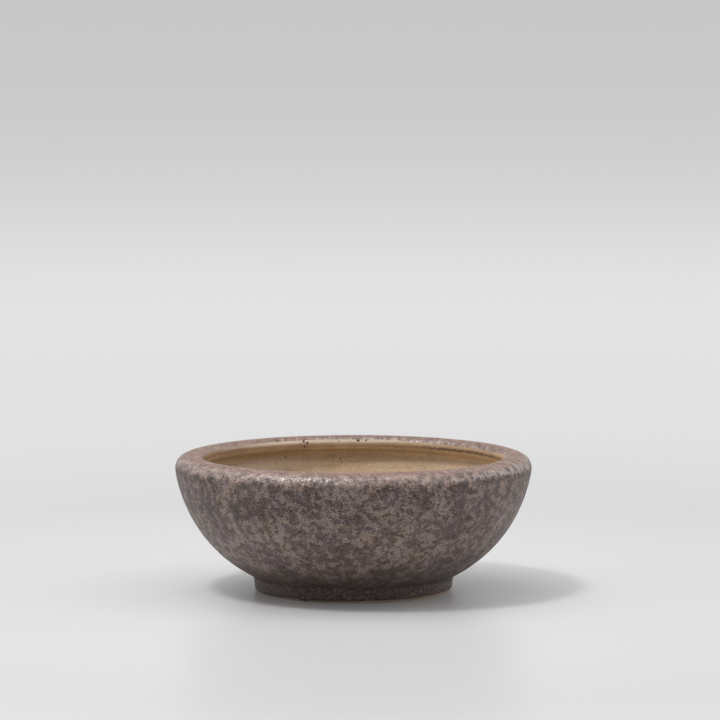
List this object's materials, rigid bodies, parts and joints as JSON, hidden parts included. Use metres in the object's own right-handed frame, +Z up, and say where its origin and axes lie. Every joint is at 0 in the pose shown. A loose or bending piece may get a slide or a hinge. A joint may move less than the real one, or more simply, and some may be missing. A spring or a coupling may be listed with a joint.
{
  "type": "bonsai pot",
  "caption": "Small round bonsai pot: a stoneware bowl on a low foot ring with a rounded lip, glazed in and out, its drain hole covered by a plastic net held by a bent wire clip.",
  "frame": {"origin": "on the table, at the axis of the bowl", "axes": "+Z up along the bowl's axis; X through the two tie-wire holes; Y across them, with the clip's bar on +Y"},
  "size_m": [0.13, 0.13, 0.05],
  "materials": {
    "clay": "bare fired stoneware, matte and fine-grained",
    "mauve_glaze": "satin-matte mauve-brown glaze, mottled with paler patches and fine dark specks",
    "tan_glaze": "satin tan glaze with faint throwing lines and a few iron specks",
    "net_plastic": "moulded black polyethylene net",
    "clip_wire": "drawn aluminium wire, lightly scratched"
  },
  "bodies": {
    "root": {"clay_body": "clay", "outer_glaze": "mauve_glaze", "inner_glaze": "tan_glaze", "drain_net": "net_plastic", "net_clip": "clip_wire"}
  },
  "joints": []
}
